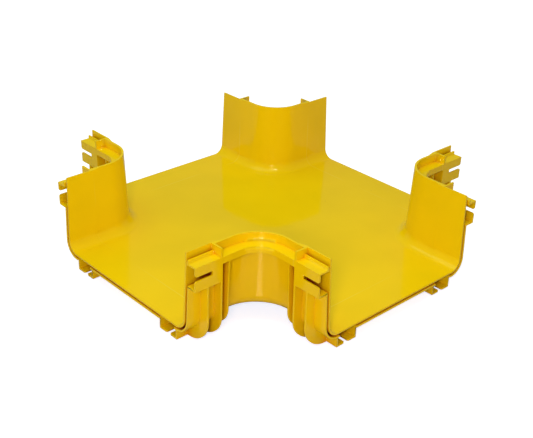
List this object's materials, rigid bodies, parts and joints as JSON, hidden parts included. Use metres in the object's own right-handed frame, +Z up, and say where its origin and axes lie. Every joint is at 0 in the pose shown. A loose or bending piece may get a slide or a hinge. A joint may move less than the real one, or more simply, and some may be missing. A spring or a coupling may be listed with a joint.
{
  "type": "fibre raceway cross fitting",
  "caption": "Moulded four-way cross fitting of an open fibre raceway, with rounded inner corners, double-walled duct ends, ribs and slotted clip seats.",
  "frame": {"origin": "middle of the fitting, on the plane that its ribs stand on", "axes": "+Z up out of the open channels, X and Y along the two crossing channels"},
  "size_m": [0.4666, 0.4666, 0.123],
  "materials": {
    "yellow_plastic": "glossy moulded yellow plastic"
  },
  "bodies": {
    "root": {"raceway_cross": "yellow_plastic"}
  },
  "joints": []
}
